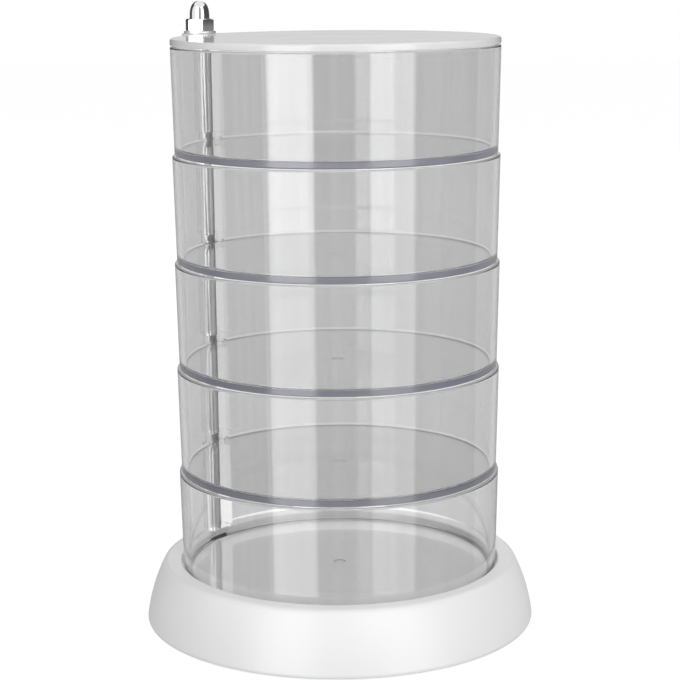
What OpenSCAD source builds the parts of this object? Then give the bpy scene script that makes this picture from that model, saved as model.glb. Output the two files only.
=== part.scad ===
// Tower of five round clear trays that swing out on one steel rod.
// Millimetres, +Z up. The origin is on the floor, on the centre line of the base.

/* [Trays] */
// Outside diameter of a tray at its rim
tray_d = 123; // [100:1:140]
// Height of a tray
tray_h = 40; // [25:1:60]
// Thickness of the round wall
tray_wall = 2; // [1.5:0.1:3]
// Thickness of the floor
tray_floor = 2; // [1.5:0.1:3]
// How much the wall leans out from the foot to the rim
tray_draft = 0.9; // [0.4:0.1:2]
// Round corner between the wall and the floor, inside
corner_round = 1.2; // [0.6:0.1:3]
// Round edges of the rim
rim_round = 0.7; // [0.3:0.1:0.9]
// Round outer edge of the foot
foot_round = 0.6; // [0.3:0.1:1]
// Diameter of the small moulding mark under the middle of the floor
gate_d = 4.6; // [2:0.1:8]
// Depth of the moulding mark
gate_depth = 0.5; // [0.2:0.1:0.8]
// Free gap between one tray and the next
tier_gap = 0.4; // [0.3:0.1:1]

/* [Pivot] */
// Diameter of the rod
rod_d = 6; // [5:0.5:8]
// Direction of the rod, counted from the right, seen from above
rod_angle = 144; // [0:1:360]
// Outside diameter of the tray bosses
boss_d = 12; // [11:0.5:14]
// How far the web beside a boss stops below the rim
web_drop = 3; // [1:0.5:8]
// Radial running clearance between the rod and what turns on it
run_gap = 0.06; // [0.02:0.01:0.1]
// End play of each tray between its spacers
end_play = 0.05; // [0.02:0.01:0.15]
// Gap between a spacer sleeve and the tray wall beside it
sleeve_gap = 0.6; // [0.5:0.1:1.2]

/* [Lid] */
// Thickness of the lid
lid_t = 2.5; // [2:0.1:5]
// Round upper edge of the lid
lid_round = 1; // [0.4:0.1:1.4]
// Radius of the ear round the rod
ear_r = 7; // [6.5:0.5:10]

/* [Base] */
// Height of the base above its lower edge
base_h = 24; // [22:1:40]
// Depth of the recess that holds the lowest tray
recess_depth = 4.5; // [3:0.5:6]
// Gap round the foot of the lowest tray
recess_gap = 0.8; // [0.4:0.1:2]
// Width of the flat ring round the recess
ring_w = 6.4; // [5:0.2:12]
// Round edge of the flat ring at the recess
lip_round = 0.8; // [0.4:0.1:1]
// Round shoulder between the flat ring and the side
shoulder_round = 2.4; // [1:0.1:3]
// How far the rod's column stands above the flat ring
seat_rise = 0.3; // [0.2:0.1:1]
// How far the base spreads beyond the flat ring
base_flare = 7.2; // [4:0.2:20]
// Radius of the curve of the base's side
flare_curve = 64; // [40:1:120]
// Round lower edge of the base
base_round = 2; // [1:0.1:3]
// Thickness of the base's walls
base_wall = 2.5; // [2:0.1:3]
// Thickness of the cover under the base
plate_t = 2.5; // [2.2:0.1:4]
// Gap round the cover
plate_gap = 0.5; // [0.3:0.1:1]

/* [Hardware] */
// Width of the nuts across their flats
nut_flats = 10; // [9:0.5:13]
// Height of the plain nut, and of the cap nut's hexagon
nut_h = 4.7; // [4:0.1:6]
// Diameter of the cap nut's dome
dome_d = 8; // [7.5:0.5:9]
// Height of the cap nut's dome
dome_h = 6.9; // [5:0.1:10]
// Height of the round end of the dome
dome_end = 2.8; // [2:0.1:3.5]
// Outside diameter of the washer under the cap nut
washer_d = 12.5; // [11:0.5:14]
// Thickness of the washer under the cap nut
washer_t = 1; // [0.6:0.1:2]
// Outside diameter of the washer inside the base
anchor_washer_d = 11; // [10:0.5:11]
// Thickness of the washer inside the base
anchor_washer_t = 1.6; // [1:0.1:2]
// Clearance round threads and sleeves that don't turn
thread_gap = 0.05; // [0.02:0.01:0.1]
// Diameter of the cover's screws
screw_d = 3; // [2.5:0.5:4]
// Length of the cover's screws under the head
screw_l = 10; // [8:1:12]
// Diameter of a screw's head
screw_head_d = 5.6; // [5:0.2:7]
// Height of a screw's head
screw_head_h = 1.4; // [1:0.1:1.6]
// Distance of the screws from the centre line
screw_reach = 46; // [30:1:48]

/* [Feet] */
// Diameter of a non-slip foot
pad_d = 14; // [8:1:18]
// Thickness of a foot
pad_t = 2; // [1.6:0.1:3]
// How far a foot stands proud of the base
pad_proud = 1; // [0.6:0.1:1.5]
// Gap between a foot and the edge of the cover
pad_margin = 4.7; // [2:0.1:16]

/* [Hidden] */
$fn = 96;

// One overrun serves all cuts
over = 1;
// Steps of a small round corner
corner_steps = 6;

rim_r = tray_d / 2;
foot_r = rim_r - tray_draft;
bore_r = rod_d / 2 + run_gap;
fixed_bore_r = rod_d / 2 + thread_gap;
boss_r = boss_d / 2;
rod_reach = rim_r - tray_wall + boss_r;
spacer_r = rod_reach - foot_r - sleeve_gap;
// The boss of the lowest tray rests on the rod's column, and all trays are alike
boss_lift = recess_depth + seat_rise;

recess_r = foot_r + recess_gap;
ring_r = recess_r + ring_w;
base_r = ring_r + base_flare;
ring_z = pad_proud + base_h;
recess_z = ring_z - recess_depth;
hollow_z = recess_z - base_wall;
plate_z = pad_proud + plate_t;
flare_z = pad_proud + base_round;
// Wall of the column that the rod passes through
column_wall = 2;

// Heights of the trays, counted from the top one
pitch = tray_h + tier_gap;
function tray_z(n) = recess_z + (5 - n) * pitch;
rim_z = tray_z(1) + tray_h;
lid_z = rim_z + tier_gap;
washer_z = lid_z + lid_t;
nut_z = washer_z + washer_t;
sleeve_l = boss_lift + tier_gap - end_play;

// The rod's lower end hangs just over the cover
tail = 0.4;
rod_z = plate_z + tail;
anchor_nut_z = rod_z + tail;
anchor_washer_z = anchor_nut_z + nut_h;
column_z = anchor_washer_z + anchor_washer_t;
anchor_room = 0.3;
// The rod ends inside the cap nut, short of the end of its blind bore
blind_room = 0.5;
dome_wall = 1.6;
blind_z = nut_z + nut_h + dome_h - dome_end;
rod_top = blind_z - blind_room;
rod_chamfer = 0.5;
nut_chamfer = 0.4;

post_d = screw_d + 2 * base_wall;
post_room = 0.5;
pilot_z = plate_z - plate_t + screw_head_h + screw_l + post_room;
head_room = 0.2;
screw_count = 4;
pad_count = 4;

// Centre of the side's curve, which passes the ring's edge and the base's widest place
chord = [ring_r - base_r, ring_z - flare_z];
half_chord = norm(chord) / 2;
sag = sqrt(flare_curve * flare_curve - half_chord * half_chord);
curve_c = [(base_r + ring_r) / 2 - sag * chord[1] / norm(chord),
    (flare_z + ring_z) / 2 + sag * chord[0] / norm(chord)];
// Steps of the side's curve
side_steps = 12;

// Radius of the side at a height, moved inwards by a wall
function side_r(z, inset) = curve_c[0]
    + sqrt(pow(flare_curve - inset, 2) - pow(z - curve_c[1], 2));

// Points of the side from one height to another
function side(inset, z0, z1) = [for (i = [0 : side_steps])
    let (z = z0 + (z1 - z0) * i / side_steps) [side_r(z, inset), z]];

// The base is plain and upright inside where the cover goes in
skirt_z = plate_z + base_wall / 2;
skirt_r = side_r(skirt_z, base_wall);
plate_r = skirt_r - plate_gap;
pad_reach = plate_r - pad_margin - pad_d / 2;

// Points of a round corner about a centre, from one angle to another
function arc(c, r, from, to) = [for (i = [0 : corner_steps])
    c + r * [cos(from + (to - from) * i / corner_steps), sin(from + (to - from) * i / corner_steps)]];

// Puts its children where the rod is
module at_rod(z = 0) {
    rotate([0, 0, rod_angle])
        translate([rod_reach, 0, z])
            children();
}

// Straight sleeve, washer or tube
module ring(outer_r, inner_r, h) {
    difference() {
        cylinder(r = outer_r, h = h);
        translate([0, 0, -over])
            cylinder(r = inner_r, h = h + 2 * over);
    }
}

// Rounded tongue that reaches from the wall to the rod
module tongue(start_r, end_r, h) {
    translate([start_r - rod_reach, -end_r, 0])
        cube([rod_reach - start_r, 2 * end_r, h]);
    cylinder(r = end_r, h = h);
}

// Cup of one tray, its foot at zero
module tray_cup() {
    inner_foot_r = foot_r - tray_wall;
    inner_rim_r = rim_r - tray_wall;
    rotate_extrude()
        polygon(concat(
            [[0, gate_depth], [gate_d / 2, gate_depth], [gate_d / 2, 0]],
            arc([foot_r - foot_round, foot_round], foot_round, -90, 0),
            arc([rim_r - rim_round, tray_h - rim_round], rim_round, 0, 90),
            arc([inner_rim_r + rim_round, tray_h - rim_round], rim_round, 90, 180),
            arc([inner_foot_r - corner_round, tray_floor + corner_round], corner_round, 0, -90),
            [[0, tray_floor]]));
}

// Whole tray: cup, boss and the web between them
module tray(n) {
    web_h = tray_h - boss_lift - web_drop;
    color([0.86, 0.9, 0.92, 0.45])
        translate([0, 0, tray_z(n)])
            difference() {
                union() {
                    tray_cup();
                    at_rod(boss_lift) {
                        cylinder(r = boss_r, h = tray_h - boss_lift);
                        tongue(rim_r - tray_wall, boss_r, web_h);
                    }
                }
                at_rod(-over)
                    cylinder(r = bore_r, h = tray_h + 2 * over);
            }
}

// Sleeve that stands on the boss of the tray below it
module spacer(n) {
    color([0.9, 0.92, 0.93, 0.6])
        at_rod(tray_z(n + 1) + tray_h)
            ring(spacer_r, fixed_bore_r, sleeve_l);
}

module tray_1() { tray(1); }
module tray_2() { tray(2); }
module tray_3() { tray(3); }
module tray_4() { tray(4); }
module tray_5() { tray(5); }

module spacer_1() { spacer(1); }
module spacer_2() { spacer(2); }
module spacer_3() { spacer(3); }
module spacer_4() { spacer(4); }

// Section of the base from the centre line outwards, before the recess is cut
module base_outline() {
    shoulder_c = [side_r(ring_z - shoulder_round, shoulder_round), ring_z - shoulder_round];
    lean = atan2(shoulder_c[1] - curve_c[1], shoulder_c[0] - curve_c[0]);
    polygon(concat(
        [[0, hollow_z]],
        side(base_wall, hollow_z, skirt_z),
        [[skirt_r, pad_proud]],
        arc([base_r - base_round, flare_z], base_round, -90, 0),
        side(0, flare_z, curve_c[1] + flare_curve * sin(lean)),
        arc(shoulder_c, shoulder_round, lean, 90),
        [[0, ring_z]]));
}

// Section of what the recess takes out, with its lip rounded
module recess_outline() {
    lip_r = recess_r + lip_round;
    polygon(concat(
        [[0, recess_z], [recess_r, recess_z]],
        arc([lip_r, ring_z - lip_round], lip_round, 180, 90),
        [[lip_r, ring_z + seat_rise + over], [0, ring_z + seat_rise + over]]));
}

// Stepped hole for the rod, with the room for its washer and nut below
module rod_hole() {
    room_r = anchor_washer_d / 2 + anchor_room;
    at_rod()
        rotate_extrude()
            polygon([[0, plate_z], [room_r, plate_z], [room_r, column_z], [fixed_bore_r, column_z],
                [fixed_bore_r, ring_z + seat_rise + over], [0, ring_z + seat_rise + over]]);
}

// Hollow moulded base with the recess, the rod's column and the screw posts
module base_shell() {
    color([0.94, 0.94, 0.95])
        difference() {
            union() {
                rotate_extrude()
                    base_outline();
                at_rod(column_z)
                    cylinder(r = rod_d / 2 + column_wall, h = ring_z + seat_rise - column_z);
                screw_places(plate_z)
                    cylinder(d = post_d, h = hollow_z - plate_z + base_wall / 2);
            }
            rod_hole();
            rotate_extrude()
                recess_outline();
            screw_places(plate_z - over)
                cylinder(d = screw_d + 2 * thread_gap, h = pilot_z - plate_z + over);
        }
}

module screw_places(z) {
    for (i = [0 : screw_count - 1])
        rotate([0, 0, i * 360 / screw_count])
            translate([screw_reach, 0, z])
                children();
}

module pad_place(i, z) {
    rotate([0, 0, (i - 0.5) * 360 / pad_count])
        translate([pad_reach, 0, z])
            children();
}

// Flat cover with seats for the feet and the screw heads
module base_plate() {
    color([0.9, 0.9, 0.91])
        difference() {
            translate([0, 0, pad_proud])
                cylinder(r = plate_r, h = plate_t);
            screw_places(pad_proud - over) {
                cylinder(d = screw_d + 2 * head_room, h = plate_t + 2 * over);
                cylinder(d = screw_head_d + 2 * head_room, h = over + screw_head_h);
            }
            for (i = [1 : pad_count])
                pad_place(i, 0)
                    cylinder(d = pad_d, h = pad_t);
        }
}

// Four self-tapping screws with flat heads and a cross slot
module base_screws() {
    slot_w = screw_head_h / 2;
    slot_l = screw_head_d - 2 * slot_w;
    slot_h = screw_head_h / 2;
    color([0.6, 0.6, 0.62])
        screw_places(pad_proud)
            difference() {
                union() {
                    cylinder(d = screw_head_d, h = screw_head_h);
                    cylinder(d = screw_d, h = screw_head_h + screw_l);
                }
                for (turn = [0, 90])
                    rotate([0, 0, turn])
                        translate([-slot_l / 2, -slot_w / 2, -over])
                            cube([slot_l, slot_w, slot_h + over]);
            }
}

module foot(i) {
    color([0.75, 0.76, 0.78])
        pad_place(i, 0)
            cylinder(d = pad_d, h = pad_t);
}

module foot_1() { foot(1); }
module foot_2() { foot(2); }
module foot_3() { foot(3); }
module foot_4() { foot(4); }

// Rod with chamfered ends
module tie_rod() {
    length = rod_top - rod_z;
    color([0.75, 0.76, 0.78])
        at_rod(rod_z) {
            cylinder(d1 = rod_d - 2 * rod_chamfer, d2 = rod_d, h = rod_chamfer);
            translate([0, 0, rod_chamfer])
                cylinder(d = rod_d, h = length - 2 * rod_chamfer);
            translate([0, 0, length - rod_chamfer])
                cylinder(d1 = rod_d, d2 = rod_d - 2 * rod_chamfer, h = rod_chamfer);
        }
}

// Hexagon with both ends chamfered round its corners
module hexagon(h) {
    corner_r = nut_flats / sqrt(3);
    intersection() {
        cylinder(r = corner_r, h = h, $fn = 6);
        union() {
            cylinder(r1 = corner_r - nut_chamfer, r2 = corner_r + nut_chamfer, h = 2 * nut_chamfer);
            translate([0, 0, 2 * nut_chamfer])
                cylinder(r = corner_r + nut_chamfer, h = h - 4 * nut_chamfer);
            translate([0, 0, h - 2 * nut_chamfer])
                cylinder(r1 = corner_r + nut_chamfer, r2 = corner_r - nut_chamfer, h = 2 * nut_chamfer);
        }
    }
}

module anchor_washer() {
    color([0.7, 0.71, 0.73])
        at_rod(anchor_washer_z)
            ring(anchor_washer_d / 2, fixed_bore_r, anchor_washer_t);
}

// A flat of this nut faces the base's side
module anchor_nut() {
    color([0.7, 0.71, 0.73])
        at_rod(anchor_nut_z)
            difference() {
                rotate([0, 0, 30])
                    hexagon(nut_h);
                translate([0, 0, -over])
                    cylinder(r = fixed_bore_r, h = nut_h + 2 * over);
            }
}

module lid_washer() {
    color([0.9, 0.92, 0.93])
        at_rod(rim_z)
            ring(spacer_r, fixed_bore_r, tier_gap - end_play);
}

// Flat disc with a round upper edge and the ear
module lid() {
    color([0.95, 0.95, 0.96])
        translate([0, 0, lid_z])
            difference() {
                union() {
                    rotate_extrude()
                        polygon(concat([[0, 0], [rim_r, 0]],
                            arc([rim_r - lid_round, lid_t - lid_round], lid_round, 0, 90),
                            [[0, lid_t]]));
                    at_rod()
                        tongue(rim_r - 2 * tray_wall, ear_r, lid_t);
                }
                at_rod(-over)
                    cylinder(r = bore_r, h = lid_t + 2 * over);
            }
}

module cap_washer() {
    color([0.8, 0.81, 0.83])
        at_rod(washer_z + end_play)
            ring(washer_d / 2, fixed_bore_r, washer_t - end_play);
}

// Domed nut, turned a little on the rod as it was tightened
module cap_nut() {
    nut_turn = 45;
    dome_r = dome_d / 2;
    end_r = (dome_r * dome_r + dome_end * dome_end) / (2 * dome_end);
    color([0.85, 0.86, 0.88])
        at_rod(nut_z)
            difference() {
                rotate([0, 0, nut_turn - rod_angle]) {
                    hexagon(nut_h);
                    translate([0, 0, nut_h])
                        intersection() {
                            cylinder(r = dome_r, h = dome_h);
                            translate([0, 0, dome_h - end_r])
                                union() {
                                    sphere(r = end_r);
                                    translate([0, 0, -dome_h])
                                        cylinder(r = end_r, h = dome_h);
                                }
                        }
                }
                translate([0, 0, -over])
                    cylinder(r = fixed_bore_r, h = blind_z - nut_z + over);
            }
}

base_shell();
base_plate();
base_screws();
foot_1();
foot_2();
foot_3();
foot_4();
tie_rod();
anchor_washer();
anchor_nut();
tray_5();
spacer_4();
tray_4();
spacer_3();
tray_3();
spacer_2();
tray_2();
spacer_1();
tray_1();
lid_washer();
lid();
cap_washer();
cap_nut();
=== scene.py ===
from math import cos, pi, radians, sin, tan

import bmesh
import bpy
from mathutils import Matrix, Vector


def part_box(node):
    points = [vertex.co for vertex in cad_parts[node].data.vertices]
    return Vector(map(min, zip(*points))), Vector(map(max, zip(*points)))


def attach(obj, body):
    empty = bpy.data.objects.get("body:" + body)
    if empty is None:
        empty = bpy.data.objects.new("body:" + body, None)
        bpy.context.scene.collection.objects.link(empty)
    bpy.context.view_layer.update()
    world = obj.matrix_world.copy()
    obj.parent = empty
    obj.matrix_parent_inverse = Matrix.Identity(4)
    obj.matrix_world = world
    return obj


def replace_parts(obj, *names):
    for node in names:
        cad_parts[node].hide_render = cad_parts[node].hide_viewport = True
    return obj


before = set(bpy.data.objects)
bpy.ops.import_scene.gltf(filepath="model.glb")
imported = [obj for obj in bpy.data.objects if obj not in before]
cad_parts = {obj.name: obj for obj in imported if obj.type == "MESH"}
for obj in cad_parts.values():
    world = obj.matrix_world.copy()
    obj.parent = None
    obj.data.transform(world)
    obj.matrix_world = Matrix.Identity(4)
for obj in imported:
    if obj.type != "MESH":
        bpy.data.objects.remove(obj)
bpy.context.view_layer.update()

# Base shell: hollow white moulding with a flared side and a round recess for the lowest tray.
# Injection-moulded plastic with a soft gloss. The rod is fixed in a column inside it,
# and everything else stands on it or hangs on the rod.
skin_depth = 0.0004


def blank_material(name):
    """New material with its nodes, its links and its shader."""
    material = bpy.data.materials.new(name)
    material.use_nodes = True
    nodes, links = material.node_tree.nodes, material.node_tree.links
    return material, nodes, links, nodes["Principled BSDF"]


def noise(nodes, scale, detail):
    """Noise texture of a given fineness."""
    texture = nodes.new("ShaderNodeTexNoise")
    texture.inputs["Scale"].default_value = scale
    texture.inputs["Detail"].default_value = detail
    return texture


def colour_mix(nodes, first=None, second=None):
    """Mix of two colours, each given here or by a link."""
    mix = nodes.new("ShaderNodeMix")
    mix.data_type = "RGBA"
    for socket, colour in (("A", first), ("B", second)):
        if colour:
            mix.inputs[socket].default_value = (*colour, 1)
    return mix


def between(nodes, low, high):
    """Range that turns 0 to 1 into a value from low to high."""
    span = nodes.new("ShaderNodeMapRange")
    span.inputs["To Min"].default_value = low
    span.inputs["To Max"].default_value = high
    return span


def moulded_skin():
    """Node group: the faint mottle and waviness of moulded plastic, as a mask and a height."""
    group = bpy.data.node_groups.new("moulded_skin", "ShaderNodeTree")
    group.interface.new_socket("Mottle", in_out="OUTPUT", socket_type="NodeSocketFloat")
    group.interface.new_socket("Height", in_out="OUTPUT", socket_type="NodeSocketFloat")
    nodes, links = group.nodes, group.links
    out = nodes.new("NodeGroupOutput")
    place = nodes.new("ShaderNodeTexCoord")
    mottle, wave, grain = noise(nodes, 38, 3), noise(nodes, 26, 1), noise(nodes, 2600, 2)
    height = nodes.new("ShaderNodeMath")
    height.operation = "MULTIPLY_ADD"
    height.inputs[1].default_value = 0.06
    for texture in (mottle, wave, grain):
        links.new(place.outputs["Object"], texture.inputs["Vector"])
    links.new(grain.outputs["Fac"], height.inputs[0])
    links.new(wave.outputs["Fac"], height.inputs[2])
    links.new(mottle.outputs["Fac"], out.inputs["Mottle"])
    links.new(height.outputs[0], out.inputs["Height"])
    return group


skin = moulded_skin()


def skinned(nodes, links, shader, gloss, rough, wavy):
    """Gives a shader the moulded skin's gloss and waviness, and returns the skin's mottle."""
    surface = nodes.new("ShaderNodeGroup")
    surface.node_tree = skin
    shine = between(nodes, gloss, rough)
    bump = nodes.new("ShaderNodeBump")
    bump.inputs["Strength"].default_value = wavy
    bump.inputs["Distance"].default_value = skin_depth
    links.new(surface.outputs["Mottle"], shine.inputs["Value"])
    links.new(shine.outputs["Result"], shader.inputs["Roughness"])
    links.new(surface.outputs["Height"], bump.inputs["Height"])
    links.new(bump.outputs["Normal"], shader.inputs["Normal"])
    return surface.outputs["Mottle"]


def white_plastic(name, dark, light, gloss, rough, wavy):
    """White moulded plastic between two tones, with its gloss varying a little over the skin."""
    material, nodes, links, shader = blank_material(name)
    tone = colour_mix(nodes, dark, light)
    mottle = skinned(nodes, links, shader, gloss, rough, wavy)
    links.new(mottle, tone.inputs["Factor"])
    links.new(tone.outputs["Result"], shader.inputs["Base Color"])
    return material


def dress(name, material):
    """Gives a solid of the frame its finish."""
    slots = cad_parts[name].data.materials
    slots.clear()
    slots.append(material)


dress("base_shell", white_plastic(
    "white_shell", (0.885, 0.885, 0.885), (0.92, 0.92, 0.92), gloss=0.28, rough=0.38, wavy=0.1,
))

# Cover under the base: a flat satin disc with seats for the feet and the screws.
# Four steel screws hold it, and four grey rubber pads are stuck into its seats.
# Above it, inside the base, a plain hexagon nut and its washer hold the rod from below.
dress("base_plate", white_plastic(
    "white_cover", (0.78, 0.785, 0.79), (0.84, 0.845, 0.85), gloss=0.45, rough=0.6, wavy=0.3,
))


def drawn_out(nodes, links, across, along, detail):
    """Noise drawn out along the height, as the lines that drawing or moulding leaves."""
    place = nodes.new("ShaderNodeTexCoord")
    stretch = nodes.new("ShaderNodeMapping")
    stretch.inputs["Scale"].default_value = (across, across, along)
    lines = noise(nodes, 1, detail)
    links.new(place.outputs["Object"], stretch.inputs["Vector"])
    links.new(stretch.outputs["Vector"], lines.inputs["Vector"])
    return lines.outputs["Fac"]


def steel(name, colour, rough, stretch=1):
    """Bare or plated metal with fine marks, drawn out along the height by a stretch."""
    fineness, darkest, smoothest, roughest = 900, 0.88, 0.7, 1.3
    material, nodes, links, shader = blank_material(name)
    shader.inputs["Metallic"].default_value = 1
    lines = drawn_out(nodes, links, across=fineness, along=fineness / stretch, detail=3)
    tone = colour_mix(nodes, [darkest * c for c in colour], colour)
    shine = between(nodes, rough * smoothest, rough * roughest)
    links.new(lines, tone.inputs["Factor"])
    links.new(tone.outputs["Result"], shader.inputs["Base Color"])
    links.new(lines, shine.inputs["Value"])
    links.new(shine.outputs["Result"], shader.inputs["Roughness"])
    return material


plated = steel("screw_steel", (0.72, 0.73, 0.75), 0.3)
for name in ("base_screws", "anchor_washer", "anchor_nut"):
    dress(name, plated)

pad_rubber = white_plastic(
    "pad_rubber", (0.5, 0.51, 0.53), (0.6, 0.61, 0.63), gloss=0.7, rough=0.9, wavy=0.8,
)
for name in ("foot_1", "foot_2", "foot_3", "foot_4"):
    dress(name, pad_rubber)

# Rod: smooth drawn steel, 6 mm thick, with chamfered ends.
# It stands in the base's column and carries all trays and the lid.
mm = 0.001
crease = radians(32)
rod_reach, rod_angle = 65.5, radians(144)
rod_at = (rod_reach * cos(rod_angle), rod_reach * sin(rod_angle))
rod_r, rod_chamfer = 3, 0.5
rod_steps = 96


def made(name, grid, material=None):
    """Object from a bmesh, with smooth faces and sharp creases."""
    bmesh.ops.recalc_face_normals(grid, faces=grid.faces)
    mesh = bpy.data.meshes.new(name)
    grid.to_mesh(mesh)
    grid.free()
    mesh.shade_smooth()
    mesh.set_sharp_from_angle(angle=crease)
    piece = bpy.data.objects.new(name, mesh)
    bpy.context.scene.collection.objects.link(piece)
    if material:
        mesh.materials.append(material)
    return piece


def turned(name, outline, material=None, at=(0, 0), steps=256):
    """Piece turned about an upright axis from a closed outline of (radius, height) in mm."""
    grid = bmesh.new()
    rings = []
    for r, z in outline:
        on_axis = r < 1e-6
        rings.append([
            grid.verts.new((
                (at[0] + r * cos(2 * pi * k / steps)) * mm,
                (at[1] + r * sin(2 * pi * k / steps)) * mm,
                z * mm,
            ))
            for k in range(1 if on_axis else steps)
        ])
    for a, b in zip(rings, rings[1:] + rings[:1]):
        if len(a) == len(b) == 1:
            continue
        for k in range(steps):
            n = (k + 1) % steps
            corners = [a[k % len(a)], b[k % len(b)], b[n % len(b)], a[n % len(a)]]
            grid.faces.new(list(dict.fromkeys(corners)))
    return made(name, grid, material)


low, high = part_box("tie_rod")
rod_low, rod_high = low.z / mm, high.z / mm
rod = turned("rod", [
    (0, rod_low), (rod_r - rod_chamfer, rod_low), (rod_r, rod_low + rod_chamfer),
    (rod_r, rod_high - rod_chamfer), (rod_r - rod_chamfer, rod_high), (0, rod_high),
], steel("rod_steel", (0.95, 0.953, 0.956), 0.4, stretch=100), rod_at, rod_steps)
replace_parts(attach(rod, "base"), "tie_rod")

# Trays: clear polystyrene cups with a thin draft, each moulded with a boss on the rod.
# The web beside the boss stops under the rim. A small mark under the floor is the gate's.
# The lowest tray stands in the base's recess, and the four others turn on the rod.
tray_h, tray_floor = 40, 2
gate_r, gate_depth = 2.3, 0.5
floor_r, foot_in, foot_r = 58.6, 58.4, 60.6
wall_low, wall_high = (60.656, 2.5), (60.766, 7.4)
rim_in, rim_r = 59.5, 61.5
boss_r, bore_r, boss_low = 6, 3.06, 4.8
web_start, web_drop = 59.6, 3
polystyrene_bend, rod_side_bend = 1.59, 1.1
clear_rough = 0.012


def rounded(corners, facets=8):
    """Outline in mm through corners of (radius, height, rounding), with each one rounded off."""
    land = 0.08
    outline = []
    for i, (r, z, bend) in enumerate(corners):
        here = Vector((r, z))
        if not bend:
            outline.append(here)
            continue
        before = (Vector(corners[i - 1][:2]) - here).normalized()
        after = (Vector(corners[(i + 1) % len(corners)][:2]) - here).normalized()
        half = before.angle(after) / 2
        centre = here + (before + after).normalized() * (bend / sin(half))
        start = here + before * (bend / tan(half))
        spoke = start - centre
        turn = pi - 2 * half
        if before.x * after.y - before.y * after.x > 0:
            turn = -turn
        outline.append(start + before * land)
        for k in range(facets + 1):
            outline.append(centre + Matrix.Rotation(turn * k / facets, 2) @ spoke)
        outline.append(here + after * (bend / tan(half)) + after * land)
    return [(p.x, p.y) for p in outline]


def combined(piece, tool, how):
    """Piece with the tool joined on or cut out. The tool is used up."""
    cut = piece.modifiers.new("cut", "BOOLEAN")
    cut.operation, cut.object, cut.solver = how, tool, "EXACT"
    graph = bpy.context.evaluated_depsgraph_get()
    mesh = bpy.data.meshes.new_from_object(piece.evaluated_get(graph))
    piece.modifiers.clear()
    piece.data = mesh
    bpy.data.objects.remove(tool)
    mesh.shade_smooth()
    mesh.set_sharp_from_angle(angle=crease)
    return piece


def tongue(name, start, end_r, low, high):
    """Upright block from the wall out to the rod, with a round end about the rod, in mm."""
    steps = 48
    out = Vector((cos(rod_angle), sin(rod_angle)))
    side = Vector((-out.y, out.x))
    middle = Vector(rod_at)
    root = middle + out * (start - rod_reach)
    outline = [root - side * end_r]
    outline += [
        middle + end_r * (out * cos(a) + side * sin(a))
        for a in (-pi / 2 + pi * k / steps for k in range(steps + 1))
    ]
    outline.append(root + side * end_r)
    grid = bmesh.new()
    rows = [[grid.verts.new((p.x * mm, p.y * mm, z * mm)) for p in outline] for z in (low, high)]
    for k in range(len(outline)):
        n = (k + 1) % len(outline)
        grid.faces.new((rows[0][k], rows[0][n], rows[1][n], rows[1][k]))
    for row in rows:
        grid.faces.new(row)
    return made(name, grid)


def light_tone_places():
    """Node group: a mask that is 1 round the rod and on level faces, where the painted grey shade
    of upright faces gives way to a light tone.
    """
    light_tone_r, fading_r = 0.0065, 0.0075
    sloping, level = 0.4, 0.9
    group = bpy.data.node_groups.new("light_tone_places", "ShaderNodeTree")
    group.interface.new_socket("Mask", in_out="OUTPUT", socket_type="NodeSocketFloat")
    nodes, links = group.nodes, group.links
    out = nodes.new("NodeGroupOutput")
    place = nodes.new("ShaderNodeTexCoord")
    flat = nodes.new("ShaderNodeVectorMath")
    flat.operation = "MULTIPLY"
    flat.inputs[1].default_value = (1, 1, 0)
    away = nodes.new("ShaderNodeVectorMath")
    away.operation = "DISTANCE"
    away.inputs[1].default_value = (rod_at[0] * mm, rod_at[1] * mm, 0)
    near = nodes.new("ShaderNodeMapRange")
    near.inputs["From Min"].default_value = fading_r
    near.inputs["From Max"].default_value = light_tone_r
    form = nodes.new("ShaderNodeNewGeometry")
    parts = nodes.new("ShaderNodeSeparateXYZ")
    upright = nodes.new("ShaderNodeMath")
    upright.operation = "ABSOLUTE"
    soft = nodes.new("ShaderNodeMapRange")
    soft.inputs["From Min"].default_value = sloping
    soft.inputs["From Max"].default_value = level
    either = nodes.new("ShaderNodeMath")
    either.operation = "MAXIMUM"
    links.new(place.outputs["Object"], flat.inputs[0])
    links.new(flat.outputs["Vector"], away.inputs[0])
    links.new(away.outputs["Value"], near.inputs["Value"])
    links.new(form.outputs["Normal"], parts.inputs["Vector"])
    links.new(parts.outputs["Z"], upright.inputs[0])
    links.new(upright.outputs[0], soft.inputs["Value"])
    links.new(near.outputs["Result"], either.inputs[0])
    links.new(soft.outputs["Result"], either.inputs[1])
    links.new(either.outputs[0], out.inputs["Mask"])
    return group


light_tone_mask = light_tone_places()


def from_inside(nodes):
    """Output that is 1 where light meets a face from inside the piece."""
    return nodes.new("ShaderNodeNewGeometry").outputs["Backfacing"]


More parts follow.
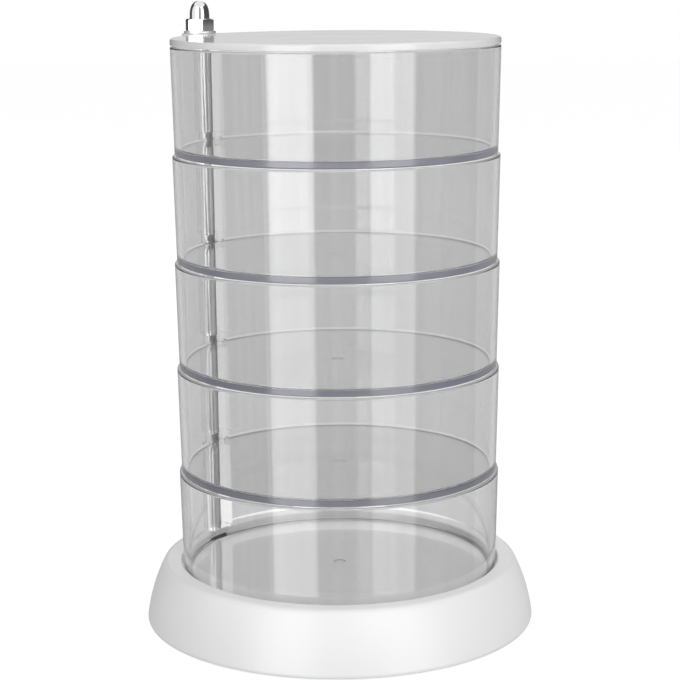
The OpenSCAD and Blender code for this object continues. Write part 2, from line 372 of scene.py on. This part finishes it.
def clear_plastic(name, painted_grey, rough, light=(0.97, 0.97, 0.97), weight=1.0, passed=0.97,
                  bend=polystyrene_bend, one_way=False, far_side_shade=None):
    """Clear plastic with fine flow lines and a painted grey shade on its skin.

    It has the painted grey on upright faces and the light tone on level faces and round the rod.
    Lamp light passes it, and light that has bounced off a matt surface meets no painted grey.
    One way, light leaves it unbent. With a far-side shade colour given, light that leaves it
    meets that painted shade in place of the painted grey.
    """
    streak_tone, streaks_from, streaks_to = 0.955, 0.3, 0.7
    gloss, dullness, waviness = 0.6, 1.4, 0.01
    material, nodes, links, shader = blank_material(name)
    shader.inputs["Transmission Weight"].default_value = weight
    shader.inputs["IOR"].default_value = bend
    path = nodes.new("ShaderNodeLightPath")

    # Painted shade: upright faces get the painted grey, level faces and the rod's surround the
    # light tone.
    places = nodes.new("ShaderNodeGroup")
    places.node_tree = light_tone_mask
    tone = colour_mix(nodes, painted_grey, light)
    links.new(places.outputs["Mask"], tone.inputs["Factor"])
    # Painted shade on faces met from inside, where light leaves the piece.
    if far_side_shade:
        sided = colour_mix(nodes, None, far_side_shade)
        links.new(from_inside(nodes), sided.inputs["Factor"])
        links.new(tone.outputs["Result"], sided.inputs["A"])
        tone = sided

    faint = between(nodes, streak_tone, 1)
    faint.inputs["From Min"].default_value = streaks_from
    faint.inputs["From Max"].default_value = streaks_to
    streaked = colour_mix(nodes)
    streaked.blend_type = "MULTIPLY"
    streaked.inputs["Factor"].default_value = 1
    lines = drawn_out(nodes, links, across=260, along=5, detail=2)
    links.new(lines, faint.inputs["Value"])
    links.new(tone.outputs["Result"], streaked.inputs["A"])
    links.new(faint.outputs["Result"], streaked.inputs["B"])

    bounced = nodes.new("ShaderNodeMath")
    bounced.operation = "GREATER_THAN"
    bounced.inputs[1].default_value = 0.5
    untinted = colour_mix(nodes, None, (1, 1, 1))
    links.new(path.outputs["Diffuse Depth"], bounced.inputs[0])
    links.new(bounced.outputs[0], untinted.inputs["Factor"])
    links.new(streaked.outputs["Result"], untinted.inputs["A"])
    links.new(untinted.outputs["Result"], shader.inputs["Base Color"])
    skinned(nodes, links, shader, rough * gloss, rough * dullness, waviness)

    surface = shader
    if one_way:
        leaves = nodes.new("ShaderNodeBsdfTransparent")
        leaves.inputs["Color"].default_value = (0.92, 0.92, 0.925, 1)
        surface = nodes.new("ShaderNodeMixShader")
        links.new(from_inside(nodes), surface.inputs["Fac"])
        links.new(shader.outputs["BSDF"], surface.inputs[1])
        links.new(leaves.outputs["BSDF"], surface.inputs[2])
    passes = nodes.new("ShaderNodeBsdfTransparent")
    passes.inputs["Color"].default_value = (passed, passed, passed, 1)
    shadowed = nodes.new("ShaderNodeMixShader")
    links.new(path.outputs["Is Shadow Ray"], shadowed.inputs["Fac"])
    links.new(surface.outputs[0], shadowed.inputs[1])
    links.new(passes.outputs["BSDF"], shadowed.inputs[2])
    links.new(shadowed.outputs["Shader"], nodes["Material Output"].inputs["Surface"])
    return material


# Painted shade: a dark violet-grey, mostly matt, on each foot ring and the floor's outer
# under-edge, standing in for the dark band that the thick clear edge shows.
foot_edge_shade = clear_plastic(
    "clear_edge_shade", (0.28, 0.28, 0.33), 0.15, (0.34, 0.34, 0.4), weight=0.2, passed=0.95,
    one_way=True,
)
# Painted shade: the rim tops get a pale grey, partly matt finish for the line where each tray meets
# the one above.
rim_top_shade = clear_plastic(
    "clear_rim_shade", (0.8, 0.8, 0.81), 0.12, (0.8, 0.8, 0.81), weight=0.45, passed=0.9,
)
# The boss round the rod gets a lighter painted grey than the walls.
by_rod = clear_plastic(
    "clear_boss", (0.92, 0.92, 0.923), 0.02, (0.92, 0.92, 0.923), bend=rod_side_bend,
)
body_slot, foot_slot, rim_slot, boss_slot, web_slot, wall_slot = range(6)


def slot_of(face):
    """Which plastic of a cup a face has, by where it lies: its radius and height in mm."""
    r, z = face.center.xy.length / mm, face.center.z / mm
    to_rod = face.center.xy / mm - Vector(rod_at)
    from_rod = to_rod.length
    in_front = to_rod.x * sin(rod_angle) - to_rod.y * cos(rod_angle) < 0
    boss_reach, web_reach = 6.6, 13 if in_front else 7
    above_foot, under_rim, on_rim = z > 3.2, z < 39.1, z > 39.1
    on_floor = z > 1.99 and r < 60
    if from_rod < boss_reach and above_foot:
        return boss_slot
    if r > 58.8 and on_rim and face.normal.z > 0.5:
        return rim_slot
    if from_rod < web_reach and under_rim and (above_foot or on_floor):
        return web_slot
    if r > 60.2 and z > 8:
        return wall_slot
    if 58.3 < r < 61 and z < 2.4:
        return foot_slot
    return body_slot


def tray_cup(name):
    """One tray with its foot at zero height."""
    cup = turned(name, rounded([
        (0, gate_depth, 0), (gate_r, gate_depth, 0.15), (gate_r, 0, 0.15),
        (foot_in, 0, 0), (foot_r, 0, 0.6), (*wall_low, 0), (*wall_high, 0),
        (rim_r, tray_h, 0.7), (rim_in, tray_h, 0.7), (floor_r, tray_floor, 1.2), (0, tray_floor, 0),
    ]))
    cup = combined(cup, tongue("web", web_start, boss_r, boss_low, tray_h - web_drop), "UNION")
    boss = turned("boss", rounded([
        (0, boss_low, 0), (boss_r, boss_low, 0.2), (boss_r, tray_h, 0.3), (0, tray_h, 0),
    ]), at=rod_at, steps=rod_steps)
    cup = combined(cup, boss, "UNION")
    bore = turned("bore", [(0, -1), (bore_r, -1), (bore_r, tray_h + 1), (0, tray_h + 1)],
                  at=rod_at, steps=rod_steps)
    cup = combined(cup, bore, "DIFFERENCE")
    # The body, the web and the outer wall get each tray's own plastic further down.
    cup.data.materials.clear()
    for material in (foot_edge_shade, foot_edge_shade, rim_top_shade, by_rod, foot_edge_shade, foot_edge_shade):
        cup.data.materials.append(material)
    for face in cup.data.polygons:
        face.material_index = slot_of(face)
    return cup


first = tray_cup("tray_cup_5")
seat_gap = 0.00005
# Painted shade: each tray's grey for its upright faces. The lowest tray's is nearly clear, and its
# far side gets painted shade instead.
tray_painted_greys = {5: 0.997, 4: 0.735, 3: 0.715, 2: 0.73, 1: 0.727}
for n, grey in tray_painted_greys.items():
    node = f"tray_{n}"
    cup = first if n == 5 else bpy.data.objects.new(f"tray_cup_{n}", first.data.copy())
    if n != 5:
        bpy.context.scene.collection.objects.link(cup)
    plastics = cup.data.materials
    plastics[body_slot] = clear_plastic(
        f"clear_plastic_{n}", (grey, grey, min(grey + 0.003, 1)), clear_rough, passed=1,
    )
    # The painted edge shade goes on the feet of all trays but the lowest.
    plastics[foot_slot] = plastics[body_slot] if n == 5 else foot_edge_shade
    # The web round the rod gets a lighter painted grey than the walls.
    plastics[web_slot] = clear_plastic(
        f"clear_web_{n}", (0.83, 0.83, 0.83), clear_rough, passed=1, bend=rod_side_bend,
    )
    # Painted shade: the lowest tray's far wall darkens the light that leaves it, in place of the
    # painted grey of the other trays.
    plastics[wall_slot] = plastics[body_slot] if n != 5 else clear_plastic(
        "clear_far_side_shade", (grey, grey, grey), clear_rough, passed=1, far_side_shade=(0.37, 0.37, 0.373),
    )
    cup.location.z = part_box(node)[0].z + (seat_gap if n == 5 else 0)
    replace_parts(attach(cup, "base" if n == 5 else node), node)

# Sleeves between the bosses, and the slip washer under the lid: short clear plastic tubes.
# They are cut to length and slid on the rod, and keep each tray at its own height.
# The sleeves carry a light painted grey shade like the trays.
sleeve = clear_plastic("clear_sleeve", (0.9, 0.905, 0.91), 0.05, bend=rod_side_bend)
for name in ("spacer_4", "spacer_3", "spacer_2", "spacer_1", "lid_washer"):
    dress(name, sleeve)

# Lid: a glossy white disc with a round upper edge and an ear on the rod.
# Moulded in one piece. It lies on the top tray and turns on the rod by its ear.
lid_r, ear_start, ear_r = 61.5, 56, 7
lid_low, lid_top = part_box("lid")[0].z / mm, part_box("lid")[1].z / mm
lid = turned(
    "lid_disc",
    rounded([(0, lid_low, 0), (lid_r, lid_low, 0.3), (lid_r, lid_top, 0.9), (0, lid_top, 0)]),
    # Painted shade: the lid's white is toned down from the shell's, against the stronger light on
    # its top.
    white_plastic(
        "white_lid", (0.81, 0.81, 0.81), (0.84, 0.84, 0.84), gloss=0.09, rough=0.13, wavy=0.012,
    ),
)
lid = combined(lid, tongue("ear", ear_start, ear_r, lid_low, lid_top), "UNION")
hole = turned(
    "hole", [(0, lid_low - 1), (bore_r, lid_low - 1), (bore_r, lid_top + 1), (0, lid_top + 1)],
    at=rod_at, steps=rod_steps,
)
lid = combined(lid, hole, "DIFFERENCE")
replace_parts(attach(lid, "lid"), "lid")

# Cap nut and its washer: a hexagon nut with a domed top, plated with chrome, and a satin ring.
# Screwed down on the rod's upper end, they hold the lid and the trays on the rod.
chrome = steel("chrome_cap", (0.86, 0.865, 0.88), 0.1)
satin = steel("satin_washer", (0.93, 0.93, 0.935), 0.5)
thread_r, washer_r = 3.05, 6.25
low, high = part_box("cap_washer")
washer_low, washer_high = low.z / mm, high.z / mm
washer = turned("washer_ring", rounded([
    (thread_r, washer_low, 0.1), (washer_r, washer_low, 0.15),
    (washer_r, washer_high, 0.3), (thread_r, washer_high, 0.1),
], facets=4), satin, rod_at, rod_steps)
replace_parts(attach(washer, "base"), "cap_washer")

hexagon_h, corner_r, nut_turn = 4.7, 5.774, radians(45)
skirt_low_r, skirt_r, neck_r = 4.2, 5.85, 4.9
dome_r, dome_side, dome_crown, dome_steps = 3.85, 0.91, 0.667, 24
hole_end, drill_tip = rod_high + 0.4, rod_high + 1.4
low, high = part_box("cap_nut")
nut_low, nut_high = low.z / mm, high.z / mm
hexagon_top = nut_low + hexagon_h
nut = turned("domed_nut", [
    (0, nut_low), (corner_r, nut_low), (corner_r, hexagon_top), (0, hexagon_top),
], chrome, rod_at, steps=6)
axis = Vector((rod_at[0] * mm, rod_at[1] * mm, 0))
nut.data.transform(
    Matrix.Translation(axis) @ Matrix.Rotation(nut_turn, 4, "Z") @ Matrix.Translation(-axis)
)
skirt = turned("skirt", rounded([
    (0, nut_low - 1, 0), (skirt_low_r, nut_low - 1, 0), (skirt_r, nut_low + 0.5, 0.3),
    (skirt_r, hexagon_top - 0.5, 0.3), (neck_r, hexagon_top, 0.2), (neck_r, hexagon_top + 1, 0),
    (0, hexagon_top + 1, 0),
], facets=4), at=rod_at, steps=rod_steps)
nut = combined(nut, skirt, "INTERSECT")
angles = [pi / 2 * k / dome_steps for k in range(dome_steps)]
dome = turned("dome", [(0, hexagon_top - 1), (dome_r, hexagon_top - 1)] + [
    (dome_r * cos(a) ** dome_side, hexagon_top + (nut_high - hexagon_top) * sin(a) ** dome_crown)
    for a in angles
] + [(0, nut_high)], at=rod_at, steps=rod_steps)
nut = combined(nut, dome, "UNION")
blind = turned("blind", [
    (0, nut_low - 1), (thread_r, nut_low - 1), (thread_r, hole_end), (0, drill_tip),
], at=rod_at, steps=rod_steps)
nut = combined(nut, blind, "DIFFERENCE")
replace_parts(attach(nut, "base"), "cap_nut")

# Studio: a pale matt floor and a white surround, both white to the eye whatever light they give.
# Tall bright cards and dark flags stand round the tower, and only reflections see them.
# Four soft lamps light it from both sides, from the front and from behind.
ground_r, ground_steps = 4, 96


def seen_directly(nodes, links, socket, otherwise, level):
    """Sets a strength for what the camera, metal and glass see, and another for other light."""
    path = nodes.new("ShaderNodeLightPath")
    seen = nodes.new("ShaderNodeMath")
    seen_or_through = nodes.new("ShaderNodeMath")
    seen.operation = seen_or_through.operation = "MAXIMUM"
    strength = between(nodes, otherwise, level)
    links.new(path.outputs["Is Camera Ray"], seen.inputs[0])
    links.new(path.outputs["Is Glossy Ray"], seen.inputs[1])
    links.new(seen.outputs[0], seen_or_through.inputs[0])
    links.new(path.outputs["Is Transmission Ray"], seen_or_through.inputs[1])
    links.new(seen_or_through.outputs[0], strength.inputs["Value"])
    links.new(strength.outputs["Result"], socket)


floor_grid = bmesh.new()
bmesh.ops.create_circle(floor_grid, cap_ends=True, segments=ground_steps, radius=ground_r)
floor_material, nodes, links, shader = blank_material("floor_white")
shader.inputs["Base Color"].default_value = (0.2, 0.2, 0.2, 1)
shader.inputs["Roughness"].default_value = 1
shader.inputs["Specular IOR Level"].default_value = 0
shader.inputs["Emission Color"].default_value = (1, 1, 1, 1)
seen_directly(nodes, links, shader.inputs["Emission Strength"], otherwise=0.45, level=0.89)
floor = made("floor", floor_grid, floor_material)
floor.visible_glossy = False

world = bpy.data.worlds.new("studio")
bpy.context.scene.world = world
world.use_nodes = True
nodes, links = world.node_tree.nodes, world.node_tree.links
nodes["Background"].inputs["Color"].default_value = (1, 1, 1, 1)
seen_directly(nodes, links, nodes["Background"].inputs["Strength"], otherwise=0.5, level=1)

card_r, card_steps = 0.9, 24
card_foot, flag_split, card_top = -0.8, 0.175, 1.0
fade_foot, fade_top = -0.27, 0.15


def panel(name, start, end, strength, low=card_foot, high=card_top, fade=1.0, soft=0.02,
          beside=1.0):
    """Tall card seen only in reflections, between two directions counted from the camera's.

    Its strength falls by the fade towards its foot, and to the beside tone over soft ends.
    """
    material, nodes, links, shader = blank_material(name)
    nodes.remove(shader)
    light = nodes.new("ShaderNodeEmission")
    place = nodes.new("ShaderNodeUVMap")
    parts = nodes.new("ShaderNodeSeparateXYZ")
    ends = nodes.new("ShaderNodeValToRGB")
    marks = ends.color_ramp.elements
    marks.new(soft)
    marks.new(1 - soft)
    for mark, tone in zip(marks, (beside, 1, 1, beside)):
        mark.color = (tone, tone, tone, 1)
    fall = between(nodes, fade * strength, strength)
    fall.inputs["From Min"].default_value = fade_foot
    fall.inputs["From Max"].default_value = fade_top
    links.new(place.outputs["UV"], parts.inputs["Vector"])
    links.new(parts.outputs["X"], ends.inputs["Fac"])
    links.new(parts.outputs["Y"], fall.inputs["Value"])
    links.new(ends.outputs["Color"], light.inputs["Color"])
    links.new(fall.outputs["Result"], light.inputs["Strength"])
    unseen = nodes.new("ShaderNodeBsdfTransparent")
    path = nodes.new("ShaderNodeLightPath")
    either = nodes.new("ShaderNodeMixShader")
    links.new(path.outputs["Glossy Depth"], either.inputs["Fac"])
    links.new(unseen.outputs["BSDF"], either.inputs[1])
    links.new(light.outputs["Emission"], either.inputs[2])
    links.new(either.outputs["Shader"], nodes["Material Output"].inputs["Surface"])
    grid = bmesh.new()
    directions = [radians(start + (end - start) * k / card_steps) for k in range(card_steps + 1)]
    rows = [
        [grid.verts.new((card_r * sin(a), -card_r * cos(a), z)) for a in directions]
        for z in (low, high)
    ]
    spot = grid.loops.layers.uv.new("spot")
    for k in range(card_steps):
        face = grid.faces.new((rows[0][k], rows[0][k + 1], rows[1][k + 1], rows[1][k]))
        for corner, across, z in zip(face.loops, (k, k + 1, k + 1, k), (low, low, high, high)):
            corner[spot].uv = (across / card_steps, z)
    card = made(name, grid, material)
    card.visible_camera = card.visible_diffuse = card.visible_shadow = False
    return card


panel("panel_left", -48, -14, 4, fade=0.78, soft=0.07, beside=0.11)
panel("panel_right", 21.5, 55, 2.9, fade=0.7, soft=0.07, beside=0.15)
panel("flag_middle", -14, 21.5, 0.45, fade=0.7)
for name, start, end, strength, low, high in (
    ("flag_right", 55, 112, 0.1, card_foot, flag_split),
    ("flag_right_end", 112, 172, 0.4, card_foot, flag_split),
    ("flag_left", -108, -50, 0.1, card_foot, flag_split),
    ("flag_left_end", -172, -108, 0.4, card_foot, flag_split),
    ("flag_right_top", 58, 166, 0.08, flag_split, card_top),
    ("flag_left_top", -166, -96, 0.08, flag_split, card_top),
    ("backdrop", 166, 194, 0.6, 0.15, 0.45),
):
    panel(name, start, end, strength, low, high).visible_transmission = False

tower_middle = Vector((0, 0, 0.1))


def lamp(name, azimuth, elevation, distance, size, power):
    """Soft lamp aimed at the middle of the tower, its direction counted from the camera's."""
    data = bpy.data.lights.new(name, "AREA")
    data.shape, data.size, data.energy = "DISK", size, power
    a, e = radians(azimuth), radians(elevation)
    back = Vector((sin(a) * cos(e), -cos(a) * cos(e), sin(e)))
    light = bpy.data.objects.new(name, data)
    light.location = tower_middle + back * distance
    light.rotation_euler = back.to_track_quat("Z", "Y").to_euler()
    bpy.context.scene.collection.objects.link(light)
    light.visible_camera = light.visible_glossy = light.visible_transmission = False


lamp("key", azimuth=16, elevation=30, distance=1.6, size=0.9, power=8.7)
lamp("fill", azimuth=-42, elevation=30, distance=1.8, size=1.0, power=3.9)
lamp("right", azimuth=62, elevation=25, distance=1.8, size=1.0, power=2.8)
lamp("back", azimuth=165, elevation=38, distance=1.6, size=0.9, power=5)

# Camera: the photograph's view, from a little above and turned by half a degree.
# The Standard view shows every colour as it is written here.
pitch, roll = radians(90 - 11.16), radians(-0.444)
data = bpy.data.cameras.new("camera")
data.lens, data.sensor_width = 104.7, 36
camera = bpy.data.objects.new("camera", data)
camera.location = (0.0008, -0.7426, 0.2566)
tilt = Matrix.Rotation(pitch, 3, "X") @ Matrix.Rotation(roll, 3, "Z")
camera.rotation_euler = tilt.to_euler()
bpy.context.scene.collection.objects.link(camera)
bpy.context.scene.camera = camera
bpy.context.scene.view_settings.view_transform = "Standard"
